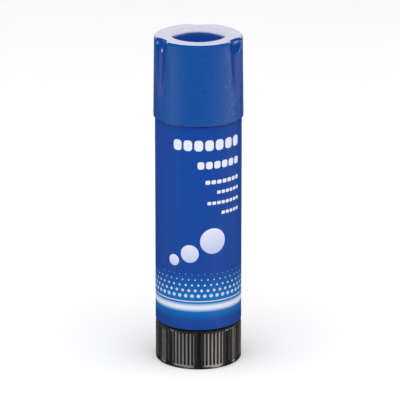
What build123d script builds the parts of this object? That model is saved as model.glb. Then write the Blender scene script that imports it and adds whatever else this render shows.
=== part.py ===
# Wind-up glue stick, standing on its turning knob with its cap on.
# Seven pieces: cap, barrel, label, turn_knob, lift_screw, glue_carrier and glue.
# The origin is on the floor under the long axis, +Z is up, and the front is at -Y.

from build123d import *
from math import asin, degrees, sqrt
import os

os.makedirs("parts", exist_ok=True)

# Driving dimensions, in millimetres and degrees

# Barrel: the body between knob and cap, and the neck that the cap slides over
barrel_radius = 12.6
barrel_length = 62.5
barrel_wall = 2.2
barrel_edge_round = 0.3
barrel_floor = 1.6
neck_length = 11.9
neck_wall = 0.7
neck_lead = 0.3

# Ring on the neck that the cap clicks over
bead_height = 0.12
bead_width = 1.2
bead_drop = 4.0

# Guide grooves in the bore, and the lugs that run in them
guide_count = 4
guide_width = 2.8
guide_depth = 0.85
guide_stop = 0.6

# Collar under the barrel's floor, which clicks into the knob
collar_web_gap = 1.0
collar_wall = 1.2
snap_height = 0.35
snap_width = 1.2
snap_rise = 1.0
snap_clearance = 0.12

# Label: film wrapped once round the barrel, with a butt seam at the back
label_thickness = 0.1
label_foot_margin = 0.2
label_top_margin = 0.4
label_seam = 0.4

# Turning knob: a deep cup with a keyed hub
knob_height = 12.0
knob_proud = 0.1
knob_wall = 1.7
knob_floor = 1.4
knob_gap = 0.3
knob_foot_round = 0.7
knob_top_round = 0.85
foot_rim_width = 1.8
foot_recess = 0.8
turning_clearance = 0.1
hub_wall = 1.4
hub_gap = 1.5
socket_floor = 0.9
web_count = 6
web_thickness = 1.0
web_height = 1.8
web_bite = 0.3

# Grip ribs: grooves cut side by side in groups, with plain lands between the groups
group_count = 9
group_angle = 21.4
grooves_in_group = 7
groove_pitch = 1.15
groove_radius = 0.33
groove_depth = 0.35
band_height = 1.3

# Lift screw: square foot, journal, flange and a plain shaft at the size of its thread's crest
journal_radius = 3.0
journal_clearance = 0.08
screw_step = 0.4
foot_across_share = 1.4
foot_corner_share = 0.15
socket_clearance = 0.05
flange_width = 2.2
flange_thickness = 1.2
flange_gap = 0.1
screw_overshoot = 1.0
screw_tip_chamfer = 0.8

# Glue carrier: a cup with a nut in its middle and a lug for each guide groove
carrier_gap = 0.3
carrier_clearance = 0.2
carrier_floor = 1.6
cup_wall = 0.9
cup_height = 12.0
cup_lead = 0.4
nut_wall = 1.6
nut_length = 8.4
nut_clearance = 0.15
lug_height = 3.0
lug_clearance = 0.15
lug_stop_margin = 0.7
fin_thickness = 0.8
fin_height = 4.0

# Glue column, cast into the carrier's cup
glue_drop = 1.2
glue_dome = 0.7
glue_edge_round = 0.8
glue_clearance = 0.2
screw_room = 0.6
screw_headroom = 1.5

# Cap: slightly tapered, with a flat ring and a low dome on top, and thumb flutes
cap_height = 24.1
cap_overhang = 0.6
cap_draft = 0.3
cap_ring_round = 0.85
cap_lip_round = 0.5
cap_slide_clearance = 0.08
cap_rim_gap = 0.3
cap_crown = 1.9
dome_radius = 8.1
dome_rise = 1.3
flute_count = 3
flute_first_angle = -30.0
flute_length = 18.0
flute_depth = 0.62
flute_radius = 21.0
scoop_depth = 1.4
scoop_radius = 6.0
scoop_height = 3.7
scoop_wall = 1.2
scoop_mouth_round = 0.6

# One overrun for every cut that has to pass right through a face
overrun = 1.0

# Heights, from the floor up
body_foot_z = knob_height + knob_gap
body_floor_z = body_foot_z + barrel_floor
shoulder_z = body_foot_z + barrel_length
rim_z = shoulder_z + neck_length
ring_z = shoulder_z + cap_height
knob_floor_z = foot_recess + knob_floor
collar_foot_z = knob_floor_z + web_height + collar_web_gap
snap_z = collar_foot_z + snap_rise
hub_top_z = body_foot_z - hub_gap
socket_z = knob_floor_z + socket_floor
flange_foot_z = body_floor_z + flange_gap
flange_top_z = flange_foot_z + flange_thickness
carrier_foot_z = flange_top_z + carrier_gap
carrier_floor_z = carrier_foot_z + carrier_floor
cup_top_z = carrier_foot_z + cup_height
nut_top_z = carrier_foot_z + nut_length
guide_top_z = shoulder_z - guide_stop
lift_travel = guide_top_z - (carrier_foot_z + lug_height) - lug_stop_margin
screw_tip_z = nut_top_z + lift_travel + screw_overshoot
glue_edge_z = rim_z - glue_drop

# Radii, from the barrel's bore outwards and inwards
bore_radius = barrel_radius - barrel_wall
guide_radius = bore_radius + guide_depth
neck_radius = bore_radius + neck_wall
knob_radius = barrel_radius + knob_proud
knob_bore_radius = knob_radius - knob_wall
collar_radius = knob_bore_radius - turning_clearance
collar_bore_radius = collar_radius - collar_wall
foot_across = journal_radius * foot_across_share
foot_corner = foot_across * foot_corner_share
hub_radius = foot_across / sqrt(2) + hub_wall
screw_radius = journal_radius + screw_step
flange_radius = journal_radius + flange_width
nut_bore_radius = screw_radius + nut_clearance
nut_radius = nut_bore_radius + nut_wall
carrier_radius = bore_radius - carrier_clearance
cup_bore_radius = carrier_radius - cup_wall
glue_radius = bore_radius - glue_clearance
screw_room_radius = screw_radius + screw_room
cap_foot_radius = barrel_radius + cap_overhang
cap_ring_radius = cap_foot_radius - cap_draft
cap_bore_radius = neck_radius + bead_height + cap_slide_clearance
crown_bore_radius = cap_ring_radius - scoop_depth - scoop_wall


def radial_bars(inner_radius, outer_radius, width, count):
    """Draws straight bars that point at the axis, evenly spaced, in the open sketch."""
    with PolarLocations((inner_radius + outer_radius) / 2, count):
        Rectangle(outer_radius - inner_radius, width)


# Barrel: one turned profile with floor, collar, snap bead, shoulder, neck and click ring
bead_z = rim_z - bead_drop
with BuildPart() as barrel:
    with BuildSketch(Plane.XZ):
        Polygon(
            (journal_radius + journal_clearance, body_foot_z),
            (collar_bore_radius, body_foot_z),
            (collar_bore_radius, collar_foot_z),
            (collar_radius - snap_height, collar_foot_z),
            (collar_radius, collar_foot_z + snap_height),
            (collar_radius, snap_z),
            (collar_radius + snap_height, snap_z + snap_height),
            (collar_radius + snap_height, snap_z + snap_width - snap_height),
            (collar_radius, snap_z + snap_width),
            (collar_radius, body_foot_z),
            (barrel_radius, body_foot_z),
            (barrel_radius, shoulder_z),
            (neck_radius, shoulder_z),
            (neck_radius, bead_z),
            (neck_radius + bead_height, bead_z + bead_height),
            (neck_radius + bead_height, bead_z + bead_width - bead_height),
            (neck_radius, bead_z + bead_width),
            (neck_radius, rim_z - neck_lead),
            (neck_radius - neck_lead, rim_z),
            (bore_radius, rim_z),
            (bore_radius, body_floor_z),
            (journal_radius + journal_clearance, body_floor_z),
        )
    revolve(axis=Axis.Z)
    body_edges = barrel.edges().filter_by(GeomType.CIRCLE).group_by(SortBy.RADIUS)[-1]
    fillet(body_edges, radius=barrel_edge_round)
    with BuildSketch(Plane.XY.offset(body_floor_z)):
        radial_bars(bore_radius - overrun, guide_radius, guide_width, guide_count)
    extrude(amount=guide_top_z - body_floor_z, mode=Mode.SUBTRACT)
barrel.part.label = "barrel"

# Label: a thin sleeve on the barrel, open at the seam
with BuildPart() as label:
    with BuildSketch(Plane.XY.offset(body_foot_z + label_foot_margin)):
        Circle(barrel_radius + label_thickness)
        Circle(barrel_radius, mode=Mode.SUBTRACT)
        with Locations((0, barrel_radius)):
            Rectangle(label_seam, barrel_wall, mode=Mode.SUBTRACT)
    extrude(amount=barrel_length - label_foot_margin - label_top_margin)
label.part.label = "label"

# Round-ended cutter for one grip groove, standing on its own axis with the ball's centre at zero
with BuildPart() as groove_cutter:
    Sphere(groove_radius)
    Cylinder(
        groove_radius,
        knob_height + overrun,
        align=(Align.CENTER, Align.CENTER, Align.MIN),
    )

# Turning knob: a turned cup, a square socket in its hub, webs, and the grip grooves
knob_foot_rim_radius = knob_radius - knob_foot_round - foot_rim_width
snap_groove_radius = collar_radius + snap_height + snap_clearance
with BuildPart() as turn_knob:
    with BuildSketch(Plane.XZ):
        Polygon(
            (0, foot_recess),
            (knob_foot_rim_radius, foot_recess),
            (knob_foot_rim_radius, 0),
            (knob_radius, 0),
            (knob_radius, knob_height),
            (knob_bore_radius, knob_height),
            (knob_bore_radius, snap_z + snap_width + snap_clearance),
            (snap_groove_radius, snap_z + snap_width - snap_height + snap_clearance),
            (snap_groove_radius, snap_z + snap_height - snap_clearance),
            (knob_bore_radius, snap_z - snap_clearance),
            (knob_bore_radius, knob_floor_z),
            (hub_radius, knob_floor_z),
            (hub_radius, hub_top_z),
            (0, hub_top_z),
        )
    revolve(axis=Axis.Z)
    foot_edges = turn_knob.edges().group_by(Axis.Z)[0].sort_by(SortBy.RADIUS)
    fillet(foot_edges[-1], radius=knob_foot_round)
    top_edges = turn_knob.edges().group_by(Axis.Z)[-1].sort_by(SortBy.RADIUS)
    fillet(top_edges[-1], radius=knob_top_round)
    with BuildSketch(Plane.XY.offset(knob_floor_z)):
        radial_bars(hub_radius - web_bite, knob_bore_radius + web_bite, web_thickness, web_count)
    extrude(amount=web_height)
    with BuildSketch(Plane.XY.offset(socket_z)):
        RectangleRounded(
            foot_across + 2 * socket_clearance,
            foot_across + 2 * socket_clearance,
            foot_corner,
        )
    extrude(amount=hub_top_z - socket_z + overrun, mode=Mode.SUBTRACT)
    groove_angle = degrees(groove_pitch / knob_radius)
    groove_centre_radius = knob_radius - groove_depth + groove_radius
    for step in range(grooves_in_group):
        angle = group_angle - 90 + (step - (grooves_in_group - 1) / 2) * groove_angle
        with Locations((0, 0, band_height + groove_radius)):
            with PolarLocations(groove_centre_radius, group_count, start_angle=angle):
                add(groove_cutter.part, mode=Mode.SUBTRACT)
turn_knob.part.label = "turn_knob"

# Lift screw: the foot stands in the hub's socket, the flange rides on the barrel's floor
with BuildPart() as lift_screw:
    with BuildSketch(Plane.XZ):
        Polygon(
            (0, hub_top_z),
            (journal_radius, hub_top_z),
            (journal_radius, flange_foot_z),
            (flange_radius, flange_foot_z),
            (flange_radius, flange_top_z),
            (screw_radius, flange_top_z),
            (screw_radius, screw_tip_z - screw_tip_chamfer),
            (screw_radius - screw_tip_chamfer, screw_tip_z),
            (0, screw_tip_z),
        )
    revolve(axis=Axis.Z)
    with BuildSketch(Plane.XY.offset(socket_z)):
        RectangleRounded(foot_across, foot_across, foot_corner)
    extrude(amount=hub_top_z - socket_z)
lift_screw.part.label = "lift_screw"

# Glue carrier: a turned cup and nut, fins that key the glue, and lugs for the guide grooves
with BuildPart() as glue_carrier:
    with BuildSketch(Plane.XZ):
        Polygon(
            (nut_bore_radius, carrier_foot_z),
            (carrier_radius, carrier_foot_z),
            (carrier_radius, cup_top_z),
            (cup_bore_radius + cup_lead, cup_top_z),
            (cup_bore_radius, cup_top_z - cup_lead),
            (cup_bore_radius, carrier_floor_z),
            (nut_radius, carrier_floor_z),
            (nut_radius, nut_top_z),
            (nut_bore_radius, nut_top_z),
        )
    revolve(axis=Axis.Z)
    with BuildSketch(Plane.XY.offset(carrier_foot_z)):
        radial_bars(
            carrier_radius - cup_wall / 2,
            guide_radius - lug_clearance,
            guide_width - 2 * lug_clearance,
            guide_count,
        )
    extrude(amount=lug_height)
    with BuildSketch(Plane.XY.offset(carrier_floor_z)):
        radial_bars(
            nut_radius - nut_wall / 2,
            carrier_radius - cup_wall / 2,
            fin_thickness,
            guide_count,
        )
    extrude(amount=fin_height)
glue_carrier.part.label = "glue_carrier"

# Glue: fills the cup round the nut and fins, and leaves room for the screw
with BuildPart() as glue:
    with BuildSketch(Plane.XZ):
        with BuildLine():
            glue_top = (0, glue_edge_z + glue_dome)
            glue_edge = (glue_radius, glue_edge_z)
            Polyline(
                glue_top,
                (0, carrier_floor_z),
                (cup_bore_radius, carrier_floor_z),
                (cup_bore_radius, cup_top_z - cup_lead),
                (cup_bore_radius + cup_lead, cup_top_z),
                (glue_radius, cup_top_z),
                glue_edge,
            )
            RadiusArc(glue_edge, glue_top, -(glue_radius**2 + glue_dome**2) / (2 * glue_dome))
        make_face()
    revolve(axis=Axis.Z)
    fillet(glue.edges().filter_by(Plane.XY).sort_by(Axis.Z)[-1], radius=glue_edge_round)
    with BuildSketch(Plane.XY.offset(carrier_floor_z)):
        Circle(screw_room_radius)
    extrude(amount=screw_tip_z + screw_headroom - carrier_floor_z, mode=Mode.SUBTRACT)
    add(glue_carrier.part, mode=Mode.SUBTRACT)
glue.part.label = "glue"

# Cutter for one thumb flute: a slim barrel form on its own axis, thickest at the ring
flute_axis_radius = cap_ring_radius - flute_depth + flute_radius
flute_tip_radius = flute_axis_radius - cap_ring_radius - cap_draft * flute_length / cap_height
flute_swell = flute_radius - flute_tip_radius
flute_arc_radius = (flute_length**2 + flute_swell**2) / (2 * flute_swell)
flute_arc_angle = degrees(asin((flute_length + overrun) / flute_arc_radius))
cutter_top_z = ring_z + dome_rise + overrun
with BuildPart() as flute_cutter:
    with BuildSketch(Plane.XZ):
        with BuildLine():
            side = CenterArc(
                (flute_radius - flute_arc_radius, ring_z),
                flute_arc_radius,
                -flute_arc_angle,
                flute_arc_angle,
            )
            Polyline(
                side @ 1,
                (flute_radius, cutter_top_z),
                (0, cutter_top_z),
                (0, (side @ 0).Y),
                side @ 0,
            )
        make_face()
    revolve(axis=Axis.Z)

# Cutter for the scoop at a flute's mouth: a shorter barrel form, flared where it meets the ring
scoop_axis_radius = cap_ring_radius - scoop_depth + scoop_radius
scoop_top_z = ring_z - scoop_mouth_round
scoop_rise = scoop_height - scoop_mouth_round
scoop_swell = scoop_depth - flute_depth
scoop_arc_radius = (scoop_rise**2 + scoop_swell**2) / (2 * scoop_swell)
scoop_arc_angle = degrees(asin((scoop_rise + overrun) / scoop_arc_radius))
with BuildPart() as scoop_cutter:
    with BuildSketch(Plane.XZ):
        with BuildLine():
            bowl = CenterArc(
                (scoop_radius - scoop_arc_radius, scoop_top_z),
                scoop_arc_radius,
                -scoop_arc_angle,
                scoop_arc_angle,
            )
            mouth = CenterArc(
                (scoop_radius + scoop_mouth_round, scoop_top_z),
                scoop_mouth_round,
                180,
                -90,
            )
            Polyline(
                mouth @ 1,
                (scoop_radius + scoop_mouth_round, cutter_top_z),
                (0, cutter_top_z),
                (0, (bowl @ 0).Y),
                bowl @ 0,
            )
        make_face()
    revolve(axis=Axis.Z)

# Half outline of the low dome, with its foot at height zero, used outside and under the crown
dome_arc_radius = (dome_radius**2 + dome_rise**2) / (2 * dome_rise)
with BuildSketch() as dome_profile:
    with BuildLine():
        dome = RadiusArc((dome_radius, 0), (0, dome_rise), -dome_arc_radius)
        Polyline(dome @ 1, (0, 0), dome @ 0)
    make_face()

# Cap: a turned outside with ring and dome, a stepped inside with a click groove, and the flutes
# with their scoops
ledge_z = rim_z + cap_rim_gap
crown_foot_z = ring_z - cap_crown
with BuildPart() as cap:
    with BuildSketch(Plane.XZ):
        Polygon(
            (0, shoulder_z),
            (cap_foot_radius, shoulder_z),
            (cap_ring_radius, ring_z),
            (0, ring_z),
        )
    revolve(axis=Axis.Z)
    fillet(cap.edges().group_by(Axis.Z)[0], radius=cap_lip_round)
    fillet(cap.edges().group_by(Axis.Z)[-1], radius=cap_ring_round)
    with BuildSketch(Plane.XZ):
        with Locations((0, ring_z)):
            add(dome_profile.sketch)
    revolve(axis=Axis.Z)
    with PolarLocations(flute_axis_radius, flute_count, start_angle=flute_first_angle):
        add(flute_cutter.part, mode=Mode.SUBTRACT)
    with PolarLocations(scoop_axis_radius, flute_count, start_angle=flute_first_angle):
        add(scoop_cutter.part, mode=Mode.SUBTRACT)
    with BuildSketch(Plane.XZ):
        Polygon(
            (0, shoulder_z - overrun),
            (cap_bore_radius, shoulder_z - overrun),
            (cap_bore_radius, bead_z - bead_height),
            (cap_bore_radius + bead_height, bead_z),
            (cap_bore_radius + bead_height, bead_z + bead_width),
            (cap_bore_radius, bead_z + bead_width + bead_height),
            (cap_bore_radius, ledge_z),
            (crown_bore_radius, ledge_z),
            (crown_bore_radius, crown_foot_z),
            (0, crown_foot_z),
        )
        with Locations((0, crown_foot_z)):
            add(dome_profile.sketch)
    revolve(axis=Axis.Z, mode=Mode.SUBTRACT)
cap.part.label = "cap"

for piece in (cap, barrel, label, turn_knob, lift_screw, glue_carrier, glue):
    export_step(piece.part, f"parts/{piece.part.label}.step")
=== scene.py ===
"""Visual model of a wind-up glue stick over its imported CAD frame, with a plain studio and a camera.

Cap, label, knob, lift screw and glue carrier are new surfaces that stand for their CAD nodes.
Barrel and glue keep their CAD shapes and get new materials. Lengths are in millimetres until a
mesh is made, apart from the length settings and the studio, which are in metres. Angles are in
degrees until they are used.
"""

import math

import bpy
import numpy as np
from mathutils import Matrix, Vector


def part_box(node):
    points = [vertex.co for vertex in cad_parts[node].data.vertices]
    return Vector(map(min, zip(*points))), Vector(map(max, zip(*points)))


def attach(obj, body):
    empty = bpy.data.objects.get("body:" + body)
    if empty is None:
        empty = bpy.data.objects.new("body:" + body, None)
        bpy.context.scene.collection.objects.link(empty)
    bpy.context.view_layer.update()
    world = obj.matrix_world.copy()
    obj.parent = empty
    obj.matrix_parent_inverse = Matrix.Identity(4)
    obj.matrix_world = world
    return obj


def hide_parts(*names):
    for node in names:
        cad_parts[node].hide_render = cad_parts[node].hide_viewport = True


bl_info = {
    "name": "Glue stick",
    "version": (1, 0, 0),
    "blender": (4, 5, 0),
    "location": "3D View > Sidebar > Glue stick",
    "description": "Builds the surfaces, materials and studio of a wind-up glue stick",
    "category": "Add Mesh",
}

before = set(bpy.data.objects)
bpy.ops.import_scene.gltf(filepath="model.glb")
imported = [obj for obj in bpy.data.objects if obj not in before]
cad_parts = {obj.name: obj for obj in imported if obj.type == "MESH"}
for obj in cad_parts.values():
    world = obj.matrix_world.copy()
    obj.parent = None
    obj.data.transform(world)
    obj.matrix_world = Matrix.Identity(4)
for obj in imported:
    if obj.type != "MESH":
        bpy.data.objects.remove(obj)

MM = 0.001


def node_box(node):
    """Gives a CAD node's lowest and highest corner in mm, to a tenth of a millimetre.

    The flat facets of a round node lie a little inside its round, and the rounding makes that up.
    """
    return [[round(value / MM, 1) for value in corner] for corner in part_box(node)]


# Radii and heights that the boxes of the CAD nodes give
KNOB_RADIUS, _, KNOB_TOP = node_box("turn_knob")[1]
LABEL_BACK = node_box("barrel")[1][0]
LABEL_FOOT = node_box("label")[0][2]
LABEL_RADIUS, _, LABEL_TOP = node_box("label")[1]
SHOULDER = node_box("cap")[0][2]
CAP_RADIUS, _, DOME_TOP = node_box("cap")[1]
SOCKET_FLOOR = node_box("lift_screw")[0][2]
FLANGE_RADIUS, _, SCREW_TIP = node_box("lift_screw")[1]
CARRIER_FOOT = node_box("glue_carrier")[0][2]
LUG_RADIUS, _, CUP_TOP = node_box("glue_carrier")[1]
CUP_FLOOR = node_box("glue")[0][2]
CARRIER_RADIUS = node_box("glue")[1][0]

# Sizes of the cap that its box doesn't give. A flute stands at each of the angles.
DOME_RADIUS = 8.1
DOME_RISE = 1.3
RING_RADIUS = 12.9
RING_TOP = DOME_TOP - DOME_RISE
EDGE_ROUND = 0.85
LIP_ROUND = 0.25
FACET_DEPTH = 0.01
FLUTE_ANGLES = (-30, 90, 210)

# Sizes of the knob that its box doesn't give, and its grip: groups of grooves with plain lands
# between them, the first group turned to the right of the front
KNOB_FLOOR = 2.2
KNOB_BORE = 11.0
HUB_RADIUS = 4.37
HUB_TOP = 10.8
SQUARE_CORNER = 0.63
GRIP_GROUPS = 9
GRIP_GROOVES = 7
GRIP_PITCH = 1.15
GRIP_TURN = 21.4
GRIP_EDGE = 0.08
GROOVE_RADIUS = 0.33
GROOVE_FOOT = 1.3

# Sizes of the lift screw and the nut that no box gives
SCREW_CREST = 3.4
SCREW_FOOT = 15.2
NUT_TOP = 23.9

# Print on the film, by height and by distance to the right of the front's middle line. A stripe
# is its middle, half its width and its softness, a disc its place and radius, and a row of blocks
# its middle height, length, thickness and pitch.
PRINT_EDGE = 0.05
BAND_RISE = (15.2, 18.4)
BAND_FADE = (20.5, 30.0)
DOTS_BEGIN = (22.05, 22.35)
DOTS_SHRINK = (21.5, 31.0)
STRIPES = ((19.4, 0.85, 0.5), (21.3, 0.12, 0.06))
DISCS = ((-7.6, 33.6, 1.7), (-2.6, 36.0, 2.7), (4.4, 39.8, 3.9))
ROWS_END = 14.5
BLOCK_ROWS = (
    (69.0, 22.4, 3.2, 3.2),
    (63.0, 15.0, 2.2, 2.5),
    (57.8, 12.6, 1.2, 1.8),
    (54.6, 9.0, 1.0, 1.5),
    (51.4, 12.0, 1.0, 1.5),
    (48.2, 7.5, 1.0, 1.5),
)

# Most of a noise's values lie in this range, which the materials spread over one of their own
NOISE_RANGE = (0.3, 0.7)


def linear(code):
    """Turns an sRGB hex colour into linear red, green, blue and alpha."""
    steps = [int(code[i : i + 2], 16) / 255 for i in (0, 2, 4)]
    return [*(s / 12.92 if s <= 0.04045 else ((s + 0.055) / 1.055) ** 2.4 for s in steps), 1.0]


def unit(rows):
    """Scales each row to length one, and leaves a row of no length as it is."""
    length = np.linalg.norm(rows, axis=-1, keepdims=True)
    return rows / np.where(length > 1e-9, length, 1.0)


def rounded(corners, closed=False, steps=5):
    """Rounds the corners of an outline.

    Each corner is a row of radius, height and rounding. The rounding's centre lies on the line
    that halves the corner, and the arc between the two sides is swept round that centre.
    """
    rows = np.array(corners, float)
    points, radii = rows[:, :2], rows[:, 2].copy()
    if not closed:
        radii[[0, -1]] = 0.0
    before = unit(np.roll(points, 1, 0) - points)
    after = unit(np.roll(points, -1, 0) - points)
    half = np.arccos(np.clip((before * after).sum(1), -1, 1)) / 2
    half = np.maximum(half, 0.01)
    reach = (radii / np.tan(half))[:, None]
    centres = points + unit(before + after) * (radii / np.sin(half))[:, None]
    start = points + before * reach - centres
    stop = points + after * reach - centres
    sweep = np.pi - 2 * half
    bent = np.sin(sweep) > 1e-6
    divisor = np.where(bent, np.sin(sweep), 1.0)
    share = np.linspace(0, 1, steps)[:, None]
    from_start = np.where(bent, np.sin((1 - share) * sweep) / divisor, 1 - share)
    from_stop = np.where(bent, np.sin(share * sweep) / divisor, share)
    path = centres + from_start[..., None] * start + from_stop[..., None] * stop
    path = path.transpose(1, 0, 2).reshape(-1, 2)
    moved = np.linalg.norm(np.diff(path, axis=0), axis=1) > 1e-5
    return path[np.concatenate([[True], moved])]


def stacked(radius, height, angles):
    """Puts rings together whose radius and height are given for each row and angle."""
    radius, height = np.broadcast_arrays(radius, height)
    return np.stack([radius * np.cos(angles), radius * np.sin(angles), height], -1)


def turned(path, angles):
    """Turns an outline of radius and height rows round the axis, one ring for each row."""
    return stacked(path[:, 0, None] + 0 * angles, path[:, 1, None], angles)


def soft_min(first, second, blend):
    """Takes the smaller of two values, less a little where they are within blend of each other.

    What comes off is a quarter of blend times the square of how near they are, so that the edge
    between two surfaces is rounded.
    """
    near = np.clip(1 - np.abs(first - second) / blend, 0, 1)
    return np.minimum(first, second) - near**2 * blend / 4


def skin(rings, ring_loop=False):
    """Joins rings of points into a closed shell of points, quads and triangles.

    Each ring closes on itself. The first and last ring are closed by a fan to their middle, or
    with ring_loop they are joined to each other. The sign of the enclosed volume turns all faces
    outward.
    """
    rows, columns = rings.shape[:2]
    index = np.arange(rows * columns).reshape(rows, columns)
    lower = index if ring_loop else index[:-1]
    upper = np.roll(index, -1, 0) if ring_loop else index[1:]
    quads = [lower, np.roll(lower, -1, 1), np.roll(upper, -1, 1), upper]
    quads = np.stack(quads, -1).reshape(-1, 4)
    points = rings.reshape(-1, 3)
    triangles = np.zeros((0, 3), int)
    if not ring_loop:
        first, last = index[0], index[-1]
        pole = np.full(columns, rows * columns)
        triangles = np.concatenate(
            [
                np.stack([np.roll(first, -1), first, pole], -1),
                np.stack([last, np.roll(last, -1), pole + 1], -1),
            ]
        )
        points = np.concatenate([points, rings[[0, -1]].mean(1)])
    halves = np.concatenate([quads[:, :3], quads[:, [0, 2, 3]], triangles])
    a, b, c = (points[halves[:, i]] for i in range(3))
    if (a * np.cross(b, c)).sum() < 0:
        quads, triangles = quads[:, ::-1], triangles[:, ::-1]
    return points, quads, triangles


def bars(inner, outer, foot, top, width, count, edge):
    """Makes straight bars that point at the axis, evenly spaced, each a closed shell.

    The section is a rectangle with rounded corners, drawn out from the inner to the outer radius.
    """
    side = width / 2
    section = [(-side, foot, edge), (side, foot, edge), (side, top, edge), (-side, top, edge)]
    section = rounded(section, closed=True, steps=4)
    along = np.array([inner, outer])[:, None] + 0 * section[:, 0]
    across, height = (section[:, i] + 0 * along for i in (0, 1))
    shells = []
    for turn in np.radians(np.arange(count) * 360 / count):
        x = along * np.cos(turn) - across * np.sin(turn)
        y = along * np.sin(turn) + across * np.cos(turn)
        shells.append(skin(np.stack([x, y, height], -1)))
    return shells


def make_piece(node, shells, body, material, sharp_angle=32.0):
    """Makes one mesh from closed shells, in metres, and lets it stand for its CAD node."""
    starts = np.cumsum([0] + [len(points) for points, _, _ in shells[:-1]])
    points = np.concatenate([points for points, _, _ in shells]) * MM
    quads = np.concatenate([shell[1] + start for shell, start in zip(shells, starts)])
    triangles = np.concatenate([shell[2] + start for shell, start in zip(shells, starts)])
    corners = np.concatenate([quads.ravel(), triangles.ravel()])
    face_starts = np.concatenate(
        [np.arange(len(quads)) * 4, quads.size + np.arange(len(triangles)) * 3]
    )
    mesh = bpy.data.meshes.new("vis_" + node)
    mesh.vertices.add(len(points))
    mesh.vertices.foreach_set("co", points.ravel())
    mesh.loops.add(len(corners))
    mesh.loops.foreach_set("vertex_index", corners)
    mesh.polygons.add(len(face_starts))
    mesh.polygons.foreach_set("loop_start", face_starts)
    mesh.update(calc_edges=True)
    if mesh.validate():
        raise RuntimeError(f"the surface of {node} has faces that don't join up")
    mesh.shade_smooth()
    mesh.set_sharp_from_angle(angle=math.radians(sharp_angle))
    mesh.materials.append(material)
    piece = bpy.data.objects.new("vis_" + node, mesh)
    bpy.context.scene.collection.objects.link(piece)
    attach(piece, body)
    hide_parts(node)
    return piece


def set_attribute(piece, name, values):
    """Stores one number for each vertex, which the material reads by its name."""
    attribute = piece.data.attributes.new(name, "FLOAT", "POINT")
    attribute.data.foreach_set("value", values.astype(np.float32))


def dress(node, material):
    """Gives a CAD node its material and leaves its mesh as it is."""
    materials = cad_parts[node].data.materials
    materials.clear()
    materials.append(material)


def add_node(tree, kind, inputs=(), **settings):
    """Adds a node, sets its properties, and sets or links its inputs.

    The inputs are a dict by name, or values in the order of the inputs that the node has in use.
    A socket is linked, and a node is linked by its first output in use.
    """
    node = tree.nodes.new(kind)
    for name, value in settings.items():
        setattr(node, name, value)
    if isinstance(inputs, dict):
        pairs = [(node.inputs[name], value) for name, value in inputs.items()]
    else:
        pairs = zip([socket for socket in node.inputs if socket.enabled], inputs)
    for socket, value in pairs:
        if isinstance(value, bpy.types.Node):
            value = next(output for output in value.outputs if output.enabled)
        if isinstance(value, bpy.types.NodeSocket):
            tree.links.new(value, socket)
        else:
            socket.default_value = value
    return node


def new_material(name):
    """Makes an empty node material, and gives it, its tree and the object's own coordinates."""
    material = bpy.data.materials.new(name)
    material.use_nodes = True
    tree = material.node_tree
    tree.nodes.clear()
    return material, tree, add_node(tree, "ShaderNodeTexCoord").outputs["Object"]


def colour_property(name, description, code):
    """Gives a colour setting whose default is an sRGB hex value."""
    return bpy.props.FloatVectorProperty(
        name=name,
        description=description,
        default=linear(code),
        subtype="COLOR",
        size=4,
        min=0.0,
        max=1.0,
    )


def length_property(name, description, default, least, most):
    """Gives a length setting from its default and limits in millimetres."""
    return bpy.props.FloatProperty(
        name=name,
        description=description,
        default=default * MM,
        min=least * MM,
        max=most * MM,
        precision=5,
        subtype="DISTANCE",
        unit="LENGTH",
    )


def level_property(name, description, default, most=50.0):
    """Gives a setting for how bright a light is."""
    return bpy.props.FloatProperty(
        name=name, description=description, default=default, min=0.0, max=most
    )


class GlueStickColours(bpy.types.PropertyGroup):
    """Colours of the glue stick's plastics, film and glue"""

    cap: colour_property("Cap", "Colour of the cap's plastic", "034d9d")
    barrel: colour_property("Barrel", "Colour of the barrel's plastic", "123f8a")
    film: colour_property("Film", "Ground colour of the printed film", "134497")
    glow: colour_property("Film band", "Colour of the band printed near the film's foot", "0070b8")
    print: colour_property("Print", "Colour of the pale shapes printed on the film", "dfe4f2")
    knob: colour_property("Knob", "Colour of the knob's plastic", "0b0a08")
    inner: colour_property("Screw and carrier", "Colour of the plastic in the barrel", "ecebe6")
    glue: colour_property("Glue", "Colour of the glue", "f0eee6")


class GlueStickSizes(bpy.types.PropertyGroup):
    """Sizes of the detail that the surfaces and materials add to the CAD model"""

    flute_edge: length_property(
        "Flute edge", "Width over which the edges of the thumb flutes are rounded", 0.35, 0.05, 1.0
    )
    cap_grain: length_property("Cap grain", "Size of the cap's satin grain", 0.6, 0.1, 3.0)
    thread_lead: length_property(
        "Thread lead", "Rise of the carrier for one turn of the knob", 4.0, 1.0, 10.0
    )
    thread_depth: length_property(
        "Thread depth", "Depth of the lift screw's thread", 0.9, 0.2, 1.5
    )
    halftone_pitch: length_property(
        "Dot pitch", "Distance between the dots printed near the film's foot", 1.9, 0.5, 5.0
    )


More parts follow.
